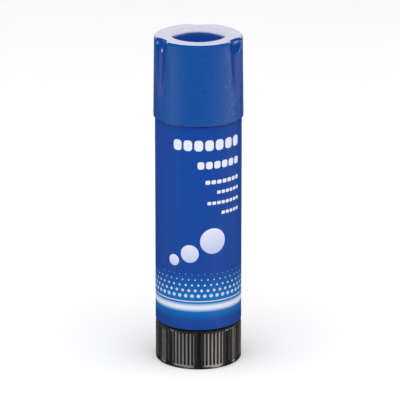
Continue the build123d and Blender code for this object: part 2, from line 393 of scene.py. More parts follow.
class GlueStickStudio(bpy.types.PropertyGroup):
    """Light and camera of the studio"""

    room_level: level_property("Room light", "Strength of the light from all round", 0.08, 2.0)
    top_level: level_property("Top softbox", "Radiance of the softbox above and in front", 1.38)
    right_level: level_property(
        "Right card", "Radiance of the card that the knob mirrors on the right", 5.0
    )
    left_level: level_property(
        "Left card", "Radiance of the card that the knob mirrors on the left", 3.4
    )
    back_level: level_property(
        "Back card", "Radiance of the card behind the object, which the cap's ring mirrors", 3.3
    )
    side_level: level_property(
        "Side cards", "Radiance of the cards beside the object, which the cap's side mirrors", 3.8
    )
    camera_distance: bpy.props.FloatProperty(
        name="Camera distance",
        description="Distance from the camera to the middle of the object",
        default=1.08,
        min=0.2,
        max=5.0,
        subtype="DISTANCE",
        unit="LENGTH",
    )
    camera_elevation: bpy.props.FloatProperty(
        name="Camera elevation",
        description="Angle by which the camera looks down on the object",
        default=math.radians(18.0),
        min=0.0,
        max=math.radians(85.0),
        subtype="ANGLE",
        unit="ROTATION",
    )
    lens: bpy.props.FloatProperty(
        name="Lens",
        description="Focal length of the camera, in millimetres",
        default=330.7,
        min=20.0,
        max=1000.0,
        unit="CAMERA",
    )


def cap_side(height):
    """Gives the cap's outer radius at a height: a straight taper from the foot to the ring.

    The foot is slimmer than the CAD wall by what that wall's flat facets lie inside its round.
    """
    taper = (CAP_RADIUS - FACET_DEPTH - RING_RADIUS) / (RING_TOP - SHOULDER)
    return RING_RADIUS + taper * (RING_TOP - height)


def cutter_distance(angles, axis, radius):
    """Gives where a ray from the cap's axis meets an upright round cutter on its near side.

    One cutter stands at each flute's angle, at a distance axis from the cap's axis. A ray that
    misses gets a distance far beyond the cap.
    """
    miss = 99.0
    apart = np.radians(360 / len(FLUTE_ANGLES))
    off = (angles - np.radians(FLUTE_ANGLES[0]) + apart / 2) % apart - apart / 2
    chord = radius**2 - (axis * np.sin(off)) ** 2
    near = axis * np.cos(off) - np.sqrt(np.clip(chord, 0, None))
    return np.where(chord > 0, near, miss)


def cap_outline(angles, height, blend):
    """Gives the cap's outer radius, and the polish, from none on the side to 0.9 in a flute.

    The side is the taper, less the arc of the edge round at the ring. A flute is what a slim
    barrel form on its own upright axis would cut, and its scoop what a shorter and narrower one
    would cut, flared at the ring. The smallest radius wins, with the edges between the surfaces
    rounded over blend.
    """
    flute_axis, flute_radius, flute_length, flute_arc = 33.28, 21.0, 19.0, 192.36
    scoop_axis, scoop_radius, scoop_length, scoop_arc = 17.5, 6.0, 6.0, 6.55
    flare, full_polish, polish_edge = 0.6, 0.9, 0.08
    drop = RING_TOP - height
    side = cap_side(height) - EDGE_ROUND
    side = side + np.sqrt(EDGE_ROUND**2 - np.clip(EDGE_ROUND - drop, 0, None) ** 2)
    below = np.clip(drop, 0, flute_length)
    flute = flute_radius - flute_arc + np.sqrt(flute_arc**2 - below**2)
    flute = cutter_distance(angles, flute_axis, flute)
    under_flare = np.clip(below - flare, 0, scoop_length)
    scoop = scoop_radius - scoop_arc + np.sqrt(scoop_arc**2 - under_flare**2)
    scoop += flare - np.sqrt(flare**2 - np.clip(flare - drop, 0, None) ** 2)
    scoop = cutter_distance(angles, scoop_axis, scoop)
    cut = soft_min(flute, scoop, blend)
    radius = soft_min(side, cut, blend)
    return radius, full_polish * np.clip((side - cut) / polish_edge, 0, 1)


class GLUESTICK_OT_cap(bpy.types.Operator):
    """Build the cap: dome, ring, tapered side with three thumb flutes, and stepped inside"""

    bl_idname = "gluestick.cap"
    bl_label = "Cap"

    def execute(self, context):
        # Columns: fine ones across each flute and coarse ones between, in degrees
        half_flute, fine_step, coarse_step = 21.0, 1 / 3, 1.5
        between = 360 / len(FLUTE_ANGLES) - half_flute
        fine = np.arange(-half_flute, half_flute + fine_step / 2, fine_step)
        coarse = np.arange(half_flute + coarse_step, between - coarse_step / 2, coarse_step)
        columns = np.concatenate([fine, coarse])
        angles = np.radians(np.concatenate([columns + turn for turn in FLUTE_ANGLES]))
        edge = context.scene.gluestick_sizes.flute_edge / MM

        # Dome: an arc up to its foot, with a close pair of rows at the crease
        sphere = (DOME_RADIUS**2 + DOME_RISE**2) / (2 * DOME_RISE)
        across = DOME_RADIUS - np.concatenate([np.linspace(7.5, 0.5, 11), [0.2, 0.06]])
        dome = np.stack([across, DOME_TOP - sphere + np.sqrt(sphere**2 - across**2)], -1)
        rings = [turned(dome, angles)]

        # Ring: rows drawn out from the dome's foot to where the edge round starts
        rim, _ = cap_outline(angles, RING_TOP, edge)
        share = np.array([0.0, 0.02, 0.3, 0.7, 0.96])[:, None]
        rings.append(stacked(DOME_RADIUS + (rim - DOME_RADIUS) * share, RING_TOP, angles))
        polish = [np.ones((len(dome) + len(share), len(angles)))]

        # Edge round and side, with the flutes cut in: close rows past the scoops, wider ones past
        # the flutes, and a few more down to the lip
        past_scoops, past_flutes, lip_top = 94.5, 79.6, SHOULDER + LIP_ROUND
        drop = EDGE_ROUND * (1 - np.cos(np.radians(np.linspace(0, 90, 11))))
        close = np.linspace(RING_TOP - EDGE_ROUND - 0.2, past_scoops, 26)
        wide = np.linspace(past_scoops - 0.3, past_flutes, 52)
        height = [RING_TOP - drop, close, wide, [79, 78, 76.5, 75.4, lip_top]]
        height = np.concatenate(height)[:, None]
        outline, fluted = cap_outline(angles, height, edge)
        rings.append(stacked(outline, height, angles))
        polish_width = 0.45
        ring_polish = np.clip(1 - (drop / polish_width)[:, None] ** 2, 0, 1)
        fluted[: len(drop)] = np.maximum(fluted[: len(drop)], ring_polish)
        polish.append(fluted)

        # Lip: an arc from the side to the flat foot
        bend = np.radians(np.linspace(15, 90, 6))
        lip_radius = cap_side(lip_top) - LIP_ROUND * (1 - np.cos(bend))
        lip = np.stack([lip_radius, lip_top - LIP_ROUND * np.sin(bend)], -1)
        rings.append(turned(lip, angles))
        polish.append(np.zeros((len(lip), len(angles))))

        # Inside: bore with the click groove, ledge, crown bore and the dome's underside
        bore, sunk, groove_foot, groove_top = 11.3, 0.12, 82.7, 83.9
        crown, ledge, ceiling = 10.3, 87.0, 97.0
        inside = rounded(
            [
                (bore + 0.5, SHOULDER, 0),
                (bore, SHOULDER, 0.25),
                (bore, groove_foot - sunk, 0.1),
                (bore + sunk, groove_foot, 0.1),
                (bore + sunk, groove_top, 0.1),
                (bore, groove_top + sunk, 0.1),
                (bore, ledge, 0.2),
                (crown, ledge, 0.2),
                (crown, ceiling, 0.5),
                (DOME_RADIUS, ceiling, 0.3),
                (5.5, ceiling + 0.7, 6.0),
                (1.0, ceiling + 1.28, 0),
            ]
        )
        rings.append(turned(inside, angles))
        polish.append(np.ones((len(inside), len(angles))))

        shell = skin(np.concatenate(rings))
        cap = make_piece("cap", [shell], "cap", self.material(context))
        poles = [1.0, 1.0]
        set_attribute(cap, "polish", np.concatenate([row.ravel() for row in polish] + [poles]))
        return {"FINISHED"}

    def material(self, context):
        """Polypropylene, injection moulded in a tool with a spark-eroded side and polished top.

        The eroded side has a fine grain that breaks its highlights into a soft mottle, and the
        ring, dome and flutes are smooth and mirror the cards.
        """
        colour = context.scene.gluestick_colours.cap
        size = context.scene.gluestick_sizes.cap_grain
        material, tree, place = new_material("cap_polypropylene")
        polish = add_node(tree, "ShaderNodeAttribute", attribute_name="polish").outputs["Fac"]
        # The real grain is about 0.1 mm. It is drawn coarser so that the render can show it.
        grain = add_node(
            tree, "ShaderNodeTexNoise", {"Vector": place, "Scale": 1 / size, "Detail": 3.0}
        )
        rough = add_node(tree, "ShaderNodeMapRange", [grain, *NOISE_RANGE, 0.2, 0.6])
        rough = add_node(tree, "ShaderNodeMix", [polish, rough, 0.14])
        strength = add_node(tree, "ShaderNodeMath", [polish, -0.85, 0.7], operation="MULTIPLY_ADD")
        bump = add_node(
            tree, "ShaderNodeBump", {"Strength": strength, "Distance": 0.14 * MM, "Height": grain}
        )

        # Colour: grain and soft clouds of 6 mm on the side, and painted shade where it is polished: a
        # darker blue on the dome, ring and inside, and faintly in the flutes
        cloud = add_node(tree, "ShaderNodeTexNoise", {"Vector": place, "Scale": 1 / (6.0 * MM)})
        tint = add_node(tree, "ShaderNodeMath", [grain, 0.5], operation="SUBTRACT")
        tint = add_node(tree, "ShaderNodeMath", [tint, cloud], operation="ADD")
        dark = [0.86 * c for c in colour[:3]] + [1.0]
        # Painted shade: a darker blue for the polished faces, strongest on the dome and ring
        painted_top_shade = [0.6 * colour[0], 0.42 * colour[1], 0.62 * colour[2], 1.0]
        side = add_node(tree, "ShaderNodeMix", [tint, dark, list(colour)], data_type="RGBA")
        # Share of the painted shade: full where the polish is 1, faint in the flutes
        depth = add_node(tree, "ShaderNodeMath", [polish, 12.0], operation="POWER")
        base = add_node(tree, "ShaderNodeMix", [depth, side, painted_top_shade], data_type="RGBA")
        surface = add_node(
            tree,
            "ShaderNodeBsdfPrincipled",
            {
                "Base Color": base,
                "Roughness": rough,
                "IOR": 1.49,
                "Specular IOR Level": 0.15,
                "Normal": bump,
            },
        )
        add_node(tree, "ShaderNodeOutputMaterial", {"Surface": surface})
        return material


class GLUESTICK_OT_barrel(bpy.types.Operator):
    """Give the CAD barrel its moulded plastic"""

    bl_idname = "gluestick.barrel"
    bl_label = "Barrel"

    def execute(self, context):
        dress("barrel", self.material(context))
        return {"FINISHED"}

    def material(self, context):
        """Polypropylene, moulded in a plain ground tool.

        It is an even satin, with faint lines 0.4 mm apart along its height from being drawn out
        of the tool.
        """
        material, tree, place = new_material("barrel_polypropylene")
        drawn = add_node(tree, "ShaderNodeMapping", {"Vector": place, "Scale": (1.0, 1.0, 0.05)})
        lines = add_node(
            tree, "ShaderNodeTexNoise", {"Vector": drawn, "Scale": 1 / (0.4 * MM), "Detail": 2.0}
        )
        rough = add_node(tree, "ShaderNodeMapRange", [lines, *NOISE_RANGE, 0.34, 0.44])
        bump = add_node(
            tree, "ShaderNodeBump", {"Strength": 0.15, "Distance": 0.01 * MM, "Height": lines}
        )
        surface = add_node(
            tree,
            "ShaderNodeBsdfPrincipled",
            {
                "Base Color": list(context.scene.gluestick_colours.barrel),
                "Roughness": rough,
                "IOR": 1.49,
                "Normal": bump,
            },
        )
        add_node(tree, "ShaderNodeOutputMaterial", {"Surface": surface})
        return material


class GLUESTICK_OT_label(bpy.types.Operator):
    """Build the printed film round the barrel, open at its seam"""

    bl_idname = "gluestick.label"
    bl_label = "Label"

    def execute(self, context):
        half_seam, edge = 0.2, 0.03
        seam = math.degrees(half_seam / LABEL_RADIUS)
        angles = np.radians(np.linspace(90 + seam, 450 - seam, 513))
        middle = (LABEL_FOOT + LABEL_TOP) / 2
        section = rounded(
            [
                (LABEL_BACK, LABEL_FOOT, edge),
                (LABEL_RADIUS, LABEL_FOOT, edge),
                (LABEL_RADIUS, middle, 0),
                (LABEL_RADIUS, LABEL_TOP, edge),
                (LABEL_BACK, LABEL_TOP, edge),
                (LABEL_BACK, middle, 0),
            ],
            closed=True,
            steps=3,
        )
        rings = turned(section, angles).transpose(1, 0, 2)
        material = self.material(context)
        label = make_piece("label", [skin(rings)], "barrel", material)

        # UV: the share of the way round from the seam, and the share of the height
        round_share = np.broadcast_to(np.linspace(0, 1, len(angles))[:, None], rings.shape[:2])
        high_share = (rings[..., 2] - LABEL_FOOT) / (LABEL_TOP - LABEL_FOOT)
        share = np.stack([round_share, high_share], -1).reshape(-1, 2)
        share = np.concatenate([share, [[0, 0.5], [1, 0.5]]])
        corners = np.zeros(len(label.data.loops), np.int32)
        label.data.loops.foreach_get("vertex_index", corners)
        layer = label.data.uv_layers.new(name="UVMap")
        layer.data.foreach_set("uv", share[corners].astype(np.float32).ravel())
        return {"FINISHED"}

    def disc(self, tree, place, centre, radius):
        """Gives the mask of a disc: the distance from its centre, cut off softly at its radius."""
        away = add_node(tree, "ShaderNodeVectorMath", [place, centre], operation="DISTANCE")
        edge = [radius - PRINT_EDGE, radius + PRINT_EDGE]
        return add_node(tree, "ShaderNodeMapRange", [away, *edge, 1.0, 0.0])

    def blocks(self, tree, across, height, row):
        """Gives the mask of a row of blocks, from the distance to each block's core.

        The core is what is left of a block when its corner rounding is taken off all round. The
        row ends at the right, and the blocks repeat at the pitch with a gap of a fifth of it.
        """
        middle, length, thick, pitch = row
        corner = 0.3 * thick
        row_length = round(length / pitch) * pitch
        from_end = add_node(tree, "ShaderNodeMath", [ROWS_END, across], operation="SUBTRACT")
        side = add_node(tree, "ShaderNodeMath", [from_end, pitch, 0.0], operation="WRAP")
        side = add_node(tree, "ShaderNodeMath", [side, pitch / 2], operation="SUBTRACT")
        side = add_node(tree, "ShaderNodeMath", [side], operation="ABSOLUTE")
        side = add_node(tree, "ShaderNodeMath", [side, 0.4 * pitch - corner], operation="SUBTRACT")
        side = add_node(tree, "ShaderNodeMath", [side, 0.0], operation="MAXIMUM")
        up = add_node(tree, "ShaderNodeMath", [height, middle], operation="SUBTRACT")
        up = add_node(tree, "ShaderNodeMath", [up], operation="ABSOLUTE")
        up = add_node(tree, "ShaderNodeMath", [up, thick / 2 - corner], operation="SUBTRACT")
        up = add_node(tree, "ShaderNodeMath", [up, 0.0], operation="MAXIMUM")
        from_core = add_node(tree, "ShaderNodeCombineXYZ", [side, up])
        mask = self.disc(tree, from_core, (0.0, 0.0, 0.0), corner)
        begun = add_node(tree, "ShaderNodeMath", [from_end, 0.0], operation="GREATER_THAN")
        ended = add_node(tree, "ShaderNodeMath", [from_end, row_length], operation="LESS_THAN")
        within = add_node(tree, "ShaderNodeMath", [begun, ended], operation="MULTIPLY")
        return add_node(tree, "ShaderNodeMath", [mask, within], operation="MULTIPLY")

    def dots(self, tree, across, height, pitch):
        """Gives the mask of dots that shrink with height, in two staggered sets of rows.

        Each set wraps the plane into cells of one pitch by the pitch times the root of three, and
        a dot is where the distance from the cell's middle is under the dot's radius.
        """
        cell = pitch * math.sqrt(3)
        masks = []
        for shift in (0.0, 0.5):
            x = add_node(tree, "ShaderNodeMath", [across, shift * pitch], operation="ADD")
            x = add_node(tree, "ShaderNodeMath", [x, pitch, 0.0], operation="WRAP")
            x = add_node(tree, "ShaderNodeMath", [x, pitch / 2], operation="SUBTRACT")
            y = add_node(tree, "ShaderNodeMath", [height, shift * cell], operation="ADD")
            y = add_node(tree, "ShaderNodeMath", [y, cell, 0.0], operation="WRAP")
            y = add_node(tree, "ShaderNodeMath", [y, cell / 2], operation="SUBTRACT")
            place = add_node(tree, "ShaderNodeCombineXYZ", [x, y])
            away = add_node(tree, "ShaderNodeVectorMath", [place], operation="LENGTH")
            radius = [height, *DOTS_SHRINK, 0.34 * pitch, 0.0]
            radius = add_node(tree, "ShaderNodeMapRange", radius)
            gap = add_node(tree, "ShaderNodeMath", [radius, away], operation="SUBTRACT")
            edge = [-PRINT_EDGE, PRINT_EDGE]
            masks.append(add_node(tree, "ShaderNodeMapRange", [gap, *edge, 0.0, 1.0]))
        return add_node(tree, "ShaderNodeMath", masks, operation="MAXIMUM")

    def material(self, context):
        """Polypropylene film, gravure printed and varnished.

        The varnish gives an even satin with the faintest ripple, and the print lies under it. The
        print is generic: rows of blocks, three discs, a band with dots, a stripe and a thin line.
        Its UV is turned into millimetres, so each shape has its real size.
        """
        colours = context.scene.gluestick_colours
        film, glow, pale = list(colours.film), list(colours.glow), list(colours.print)
        dot_pitch = context.scene.gluestick_sizes.halftone_pitch / MM
        material, tree, place = new_material("label_polypropylene_film")
        uv = add_node(tree, "ShaderNodeUVMap", uv_map="UVMap")
        share = add_node(tree, "ShaderNodeSeparateXYZ", [uv]).outputs
        girth, tall = 2 * math.pi * LABEL_RADIUS, LABEL_TOP - LABEL_FOOT
        across = add_node(
            tree, "ShaderNodeMath", [share[0], girth, -girth / 2], operation="MULTIPLY_ADD"
        )
        height = add_node(
            tree, "ShaderNodeMath", [share[1], tall, LABEL_FOOT], operation="MULTIPLY_ADD"
        )

        # Band: it rises softly from the plain strip at the foot and fades out upwards
        rise = add_node(tree, "ShaderNodeMapRange", [height, *BAND_RISE, 0.0, 1.0])
        fade = add_node(tree, "ShaderNodeMapRange", [height, *BAND_FADE, 1.0, 0.0])
        band = add_node(tree, "ShaderNodeMath", [rise, fade], operation="MULTIPLY")
        colour = add_node(tree, "ShaderNodeMix", [band, film, glow], data_type="RGBA")
        dots = self.dots(tree, across, height, dot_pitch)
        begin = add_node(tree, "ShaderNodeMapRange", [height, *DOTS_BEGIN, 0.0, 0.75])
        dots = add_node(tree, "ShaderNodeMath", [dots, begin], operation="MULTIPLY")
        colour = add_node(tree, "ShaderNodeMix", [dots, colour, pale], data_type="RGBA")
        for middle, half, soft in STRIPES:
            away = add_node(tree, "ShaderNodeMath", [height, middle], operation="SUBTRACT")
            away = add_node(tree, "ShaderNodeMath", [away], operation="ABSOLUTE")
            edge = [half - soft, half + soft]
            mask = add_node(tree, "ShaderNodeMapRange", [away, *edge, 1.0, 0.0])
            colour = add_node(tree, "ShaderNodeMix", [mask, colour, pale], data_type="RGBA")

        # Three discs that rise and grow to the right, paler towards their top
        flat = add_node(tree, "ShaderNodeCombineXYZ", [across, height])
        cool = [0.7 * pale[0], 0.7 * pale[1], 0.92 * pale[2], 1.0]
        for x, y, radius in DISCS:
            shade = [height, y - radius, y + radius, 0.0, 1.0]
            shade = add_node(tree, "ShaderNodeMapRange", shade)
            tint = add_node(tree, "ShaderNodeMix", [shade, cool, pale], data_type="RGBA")
            mask = self.disc(tree, flat, (x, y, 0.0), radius)
            colour = add_node(tree, "ShaderNodeMix", [mask, colour, tint], data_type="RGBA")

        # Rows of blocks with round corners, which end on one line
        for row in BLOCK_ROWS:
            mask = self.blocks(tree, across, height, row)
            colour = add_node(tree, "ShaderNodeMix", [mask, colour, pale], data_type="RGBA")

        ripple = add_node(
            tree, "ShaderNodeTexNoise", {"Vector": place, "Scale": 1 / (2.5 * MM), "Detail": 1.0}
        )
        rough = add_node(tree, "ShaderNodeMapRange", [ripple, *NOISE_RANGE, 0.45, 0.52])
        bump = add_node(
            tree, "ShaderNodeBump", {"Strength": 0.1, "Distance": 0.02 * MM, "Height": ripple}
        )
        surface = add_node(
            tree,
            "ShaderNodeBsdfPrincipled",
            {
                "Base Color": colour,
                "Roughness": rough,
                "IOR": 1.49,
                "Specular IOR Level": 0.05,
                "Normal": bump,
            },
        )
        add_node(tree, "ShaderNodeOutputMaterial", {"Surface": surface})
        return material


def groove_depth(distance):
    """Gives a grip groove's depth at a distance from its middle line.

    The groove is an arc sunk a little more, and the rib beside it is nearly level, a wide arc
    whose crest lies half a pitch away. The deeper of the two wins, with the edge between them
    rounded.
    """
    sunk, steepness, crown = 0.02, 4, 2.4
    inside = np.sqrt(np.clip(GROOVE_RADIUS**2 - distance**2, 0, None))
    groove = sunk + inside - steepness * np.clip(distance - GROOVE_RADIUS, 0, None)
    rib = np.clip(GRIP_PITCH / 2 - distance, 0, None) ** 2 / (2 * crown)
    return -soft_min(-groove, -rib, GRIP_EDGE)


def square_outline(angles, half, corner):
    """Gives the radius of a rounded square: its flat sides, and an arc at each corner."""
    quarter = np.radians(90)
    off = (angles + quarter / 2) % quarter - quarter / 2
    flat = half / np.cos(off)
    inset = math.sqrt(2) * (half - corner)
    diagonal = quarter / 2 - np.abs(off)
    reach = np.clip(corner**2 - (inset * np.sin(diagonal)) ** 2, 0, None)
    arc = inset * np.cos(diagonal) + np.sqrt(reach)
    return np.where(half * np.tan(np.abs(off)) > half - corner, arc, flat)


class GLUESTICK_OT_knob(bpy.types.Operator):
    """Build the turning knob: grouped grip ribs outside, keyed hub and webs inside"""

    bl_idname = "gluestick.knob"
    bl_label = "Knob"

    def execute(self, context):
        # Columns: sixteen across each groove's pitch, and four on the land after each group
        step = GRIP_PITCH / KNOB_RADIUS
        apart = np.radians(360 / GRIP_GROUPS)
        outer = GRIP_GROOVES // 2
        across = np.linspace(-0.5, 0.5, 17)[:-1] * step
        grooves = np.concatenate([across + step * i for i in range(-outer, outer + 1)])
        land = apart - GRIP_GROOVES * step
        land = GRIP_GROOVES / 2 * step + land * np.array([0.0, 0.08, 0.5, 0.92])
        group = np.concatenate([grooves, land])
        middles = np.radians(GRIP_TURN - 90) + apart * np.arange(GRIP_GROUPS)
        angles = (middles[:, None] + group).ravel()
        nearest = np.round(np.clip(group / step, -outer, outer)) * step
        beside = np.tile(np.abs(group - nearest) * KNOB_RADIUS, GRIP_GROUPS)

        # Outside, from the gate's stub in its dimple under the floor and a fine ring round it, past
        # the standing rim, up to the bore's mouth. Rows lie close where the grooves end.
        gate, dimple, underside, ring, rim = 0.75, 1.15, 0.8, 0.95, 10.2
        base = rounded(
            [
                (0.3, gate, 0),
                (0.55, gate, 0.05),
                (0.6, dimple, 0.1),
                (1.7, dimple, 0.2),
                (2.0, underside, 0.15),
                (7.4, underside, 0.1),
                (7.5, ring, 0.05),
                (7.9, ring, 0.05),
                (8.0, underside, 0.1),
                (rim, underside, 0.15),
                (rim, 0, 0.25),
                (11.5, 0, 0),
            ],
            steps=2,
        )
        foot_round, rise = 0.7, np.radians(np.linspace(0, 90, 9))
        foot = [KNOB_RADIUS - foot_round * (1 - np.sin(rise)), foot_round * (1 - np.cos(rise))]
        low = np.concatenate([[0.85, 1.0], np.arange(1.06, 1.66, 0.06), [1.7, 5.0, 8.5]])
        wall = [np.full(len(low), KNOB_RADIUS), low]
        edge, bend = 0.85, np.radians(np.linspace(0, 90, 12))
        top = [KNOB_RADIUS - edge + edge * np.cos(bend), KNOB_TOP - edge + edge * np.sin(bend)]
        outside = np.concatenate([base] + [np.stack(rows, -1) for rows in (foot, wall, top)])
        below = np.clip(GROOVE_FOOT + GROOVE_RADIUS - outside[:, 1, None], 0, None)
        depth = groove_depth(np.sqrt(beside**2 + below**2))
        radius = soft_min(outside[:, 0, None] + 0 * depth, KNOB_RADIUS - depth, GRIP_EDGE)
        rings = [stacked(radius, outside[:, 1, None], angles)]

        # Inside: bore with the click groove, floor, hub and its square socket
        groove_foot, groove_top, sunk, slope = 6.23, 6.97, 0.37, 0.35
        inside = rounded(
            [
                (KNOB_BORE + 0.3, KNOB_TOP, 0),
                (KNOB_BORE, KNOB_TOP, 0.12),
                (KNOB_BORE, groove_top + slope, 0.1),
                (KNOB_BORE + sunk, groove_top, 0.1),
                (KNOB_BORE + sunk, groove_foot, 0.1),
                (KNOB_BORE, groove_foot - slope, 0.1),
                (KNOB_BORE, KNOB_FLOOR, 0.4),
                (HUB_RADIUS, KNOB_FLOOR, 0.3),
                (HUB_RADIUS, HUB_TOP, 0.15),
                (HUB_RADIUS - 0.3, HUB_TOP, 0),
            ],
            steps=3,
        )
        rings.append(turned(inside, angles))
        half_socket, lead = 2.15, 0.15
        socket = square_outline(angles, half_socket, SQUARE_CORNER)
        depths = np.array([HUB_TOP, HUB_TOP - lead, 7.0, SOCKET_FLOOR + 0.1, SOCKET_FLOOR])
        widened = np.array([lead, 0.0, 0.0, 0.0, -0.1])
        rings.append(stacked(socket + widened[:, None], depths[:, None], angles))

        # Webs from the hub to the wall, rooted a little way into both and into the floor
        root = 0.3
        webs = bars(
            inner=HUB_RADIUS - root,
            outer=KNOB_BORE + root,
            foot=KNOB_FLOOR - 0.1,
            top=4.0,
            width=1.0,
            count=6,
            edge=0.12,
        )
        shells = [skin(np.concatenate(rings))] + webs
        knob = make_piece("turn_knob", shells, "knob", self.material(context))

        # The attribute marks the floors of the grooves, down to just above where they end
        shallow, fade, floors_foot = 0.06, 0.12, 1.2
        floors = np.clip((KNOB_RADIUS - radius - shallow) / fade, 0, 1)
        floors = (floors * (outside[:, 1, None] > floors_foot)).ravel()
        values = np.zeros(len(knob.data.vertices))
        values[: len(floors)] = floors
        set_attribute(knob, "groove", values)
        return {"FINISHED"}

    def material(self, context):
        """Polystyrene, injection moulded in a polished tool, black all through.

        The crests of the ribs mirror the cards as thin streaks. The grooves keep the rough floor
        that the cutter left in the tool, and trap the light. Handling has left the faintest haze,
        which a fine noise in the roughness gives.
        """
        material, tree, place = new_material("knob_polystyrene")
        groove = add_node(tree, "ShaderNodeAttribute", attribute_name="groove").outputs["Fac"]
        haze = add_node(
            tree, "ShaderNodeTexNoise", {"Vector": place, "Scale": 1 / (1.2 * MM), "Detail": 3.0}
        )
        rough = add_node(tree, "ShaderNodeMapRange", [haze, *NOISE_RANGE, 0.13, 0.2])
        rough = add_node(tree, "ShaderNodeMix", [groove, rough, 0.8])
        bump = add_node(
            tree, "ShaderNodeBump", {"Strength": 0.05, "Distance": 0.004 * MM, "Height": haze}
        )
        surface = add_node(
            tree,
            "ShaderNodeBsdfPrincipled",
            {
                "Base Color": list(context.scene.gluestick_colours.knob),
                "Roughness": rough,
                "IOR": 1.59,
                "Normal": bump,
            },
        )
        add_node(tree, "ShaderNodeOutputMaterial", {"Surface": surface})
        return material


def thread(angles, height, sizes, room=0.0):
    """Gives the radius of a left-hand thread, from its core to its crest.

    The phase is the height in turns plus the share of a turn, and the crest is a trapezoid in the
    phase with sloping flanks. With room it is the nut's thread, which clears the screw's by that.
    """
    half_crest, flank = 1.15, 0.75
    lead = sizes.thread_lead / MM
    phase = (height / lead + angles / (2 * np.pi)) % 1.0
    away = np.abs(phase - 0.5) * lead
    high = np.clip((half_crest + room - away) / flank, 0, 1)
    high = high * high * (3 - 2 * high)
    return SCREW_CREST - sizes.thread_depth / MM * (1 - high) + room


def inner_material(context, name):
    """Polypropylene, injection moulded and left natural white: a waxy, slightly glowing satin."""
    material, tree, place = new_material(name)
    cloud = add_node(tree, "ShaderNodeTexNoise", {"Vector": place, "Scale": 1 / (3.0 * MM)})
    rough = add_node(tree, "ShaderNodeMapRange", [cloud, *NOISE_RANGE, 0.36, 0.46])
    bump = add_node(
        tree, "ShaderNodeBump", {"Strength": 0.15, "Distance": 0.02 * MM, "Height": cloud}
    )
    surface = add_node(
        tree,
        "ShaderNodeBsdfPrincipled",
        {
            "Base Color": list(context.scene.gluestick_colours.inner),
            "Roughness": rough,
            "IOR": 1.49,
            "Subsurface Weight": 0.25,
            "Subsurface Radius": (1.0, 0.9, 0.8),
            "Subsurface Scale": 1.2 * MM,
            "Normal": bump,
        },
    )
    add_node(tree, "ShaderNodeOutputMaterial", {"Surface": surface})
    return material


class GLUESTICK_OT_screw(bpy.types.Operator):
    """Build the lift screw: square foot, journal, flange and left-hand thread"""

    bl_idname = "gluestick.screw"
    bl_label = "Lift screw"

    def execute(self, context):
        sizes = context.scene.gluestick_sizes
        angles = np.radians(np.arange(0, 360, 3.75))
        half_square, lead = 2.1, 0.2
        square = square_outline(angles, half_square, SQUARE_CORNER)
        feet = np.array([SOCKET_FLOOR, SOCKET_FLOOR + lead, HUB_TOP - 0.3, HUB_TOP])
        narrowed = np.array([lead, 0.0, 0.0, 0.0])
        rings = [stacked(square - narrowed[:, None], feet[:, None], angles)]
        journal, flange_foot, neck = 3.0, 14.0, 2.6
        lower = rounded(
            [
                (journal - 0.05, HUB_TOP, 0),
                (journal, HUB_TOP + 0.05, 0),
                (journal, flange_foot, 0.1),
                (FLANGE_RADIUS, flange_foot, 0.15),
                (FLANGE_RADIUS, SCREW_FOOT, 0.15),
                (neck, SCREW_FOOT, 0),
            ],
            steps=4,
        )
        rings.append(turned(lower, angles))

        # Thread: it runs in over two millimetres above the flange and is bevelled at the tip
        bevel, run_in = 0.8, 2.0
        height = np.arange(SCREW_FOOT + 0.05, SCREW_TIP - bevel, 0.14)
        height = np.concatenate([height, [SCREW_TIP - 0.7, SCREW_TIP - 0.4, SCREW_TIP]])[:, None]
        shaft = thread(angles, height, sizes)
        shaft = np.minimum(shaft, SCREW_CREST + SCREW_TIP - bevel - height)
        core = SCREW_CREST - sizes.thread_depth / MM
        begun = np.clip((height - SCREW_FOOT - 0.5) / run_in, 0, 1)
        rings.append(stacked(core + (shaft - core) * begun, height, angles))
        shell = skin(np.concatenate(rings))
        material = inner_material(context, "screw_polypropylene")
        make_piece("lift_screw", [shell], "knob", material)
        return {"FINISHED"}


class GLUESTICK_OT_carrier(bpy.types.Operator):
    """Build the glue carrier: cup, threaded nut, fins and the lugs that run in the grooves"""

    bl_idname = "gluestick.carrier"
    bl_label = "Glue carrier"

    def execute(self, context):
        angles = np.radians(np.arange(0, 360, 3))
        cup_bore, nut_radius, nut_mouth, bevel = 9.3, 5.15, 4.4, 0.4
        cup = rounded(
            [
                (nut_mouth, CARRIER_FOOT, 0),
                (CARRIER_RADIUS, CARRIER_FOOT, 0.3),
                (CARRIER_RADIUS, CUP_TOP, 0.1),
                (cup_bore + bevel, CUP_TOP, 0.05),
                (cup_bore, CUP_TOP - bevel, 0.1),
                (cup_bore, CUP_FLOOR, 0.3),
                (nut_radius, CUP_FLOOR, 0.3),
                (nut_radius, NUT_TOP, 0.2),
                (nut_mouth, NUT_TOP, 0),
            ],
            steps=4,
        )
        height = np.linspace(NUT_TOP, CARRIER_FOOT, 57)[:, None]
        bore = thread(angles, height, context.scene.gluestick_sizes, room=0.15)
        rings = np.concatenate([turned(cup, angles), stacked(bore, height, angles)])
        shells = [skin(rings, ring_loop=True)]

        # Lugs outside the cup and fins inside it, both rooted in the cup's wall
        root = cup_bore + 0.45
        shells += bars(
            inner=root, outer=LUG_RADIUS, foot=CARRIER_FOOT, top=18.5, width=2.5, count=4, edge=0.2
        )
        shells += bars(
            inner=4.9, outer=root, foot=CUP_FLOOR - 0.1, top=21.1, width=0.8, count=4, edge=0.1
        )
        material = inner_material(context, "carrier_polypropylene")
        make_piece("glue_carrier", shells, "carrier", material)
        return {"FINISHED"}


